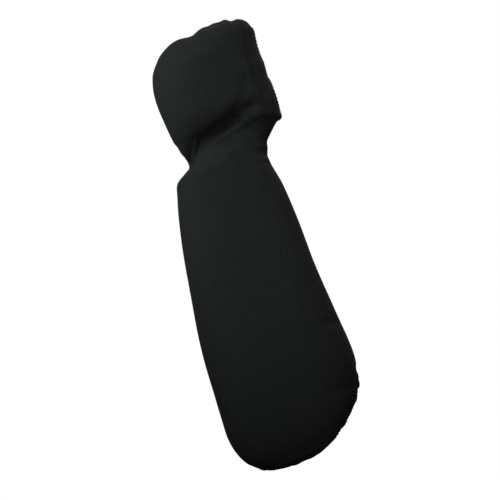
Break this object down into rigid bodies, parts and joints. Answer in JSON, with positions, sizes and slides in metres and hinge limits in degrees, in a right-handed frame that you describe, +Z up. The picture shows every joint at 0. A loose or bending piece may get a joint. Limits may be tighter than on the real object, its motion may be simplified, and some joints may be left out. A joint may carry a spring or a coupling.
{
  "type": "padded forearm and fist guard",
  "caption": "Padded knit cloth guard for a forearm and fist, a hollow sleeve with foam pads, open at the elbow, fingers and thumb.",
  "frame": {"origin": "on the arm's centre line, level with the bottom of the elbow opening", "axes": "+Z up the forearm to the fist, -Y the padded outer face, +X the thumb's side"},
  "size_m": [0.1339, 0.104, 0.3994],
  "materials": {
    "knit_cloth": "matte stretch knit, near black",
    "pad_cover": "matte knit over foam, near black",
    "hem_cloth": "matte doubled knit hem, near black"
  },
  "bodies": {
    "root": {"forearm_sleeve": "knit_cloth", "hand_mitt": "knit_cloth", "forearm_pad": "pad_cover", "hand_pad": "pad_cover", "elbow_hem": "hem_cloth", "finger_hem": "hem_cloth", "thumb_hem": "hem_cloth"}
  },
  "joints": []
}
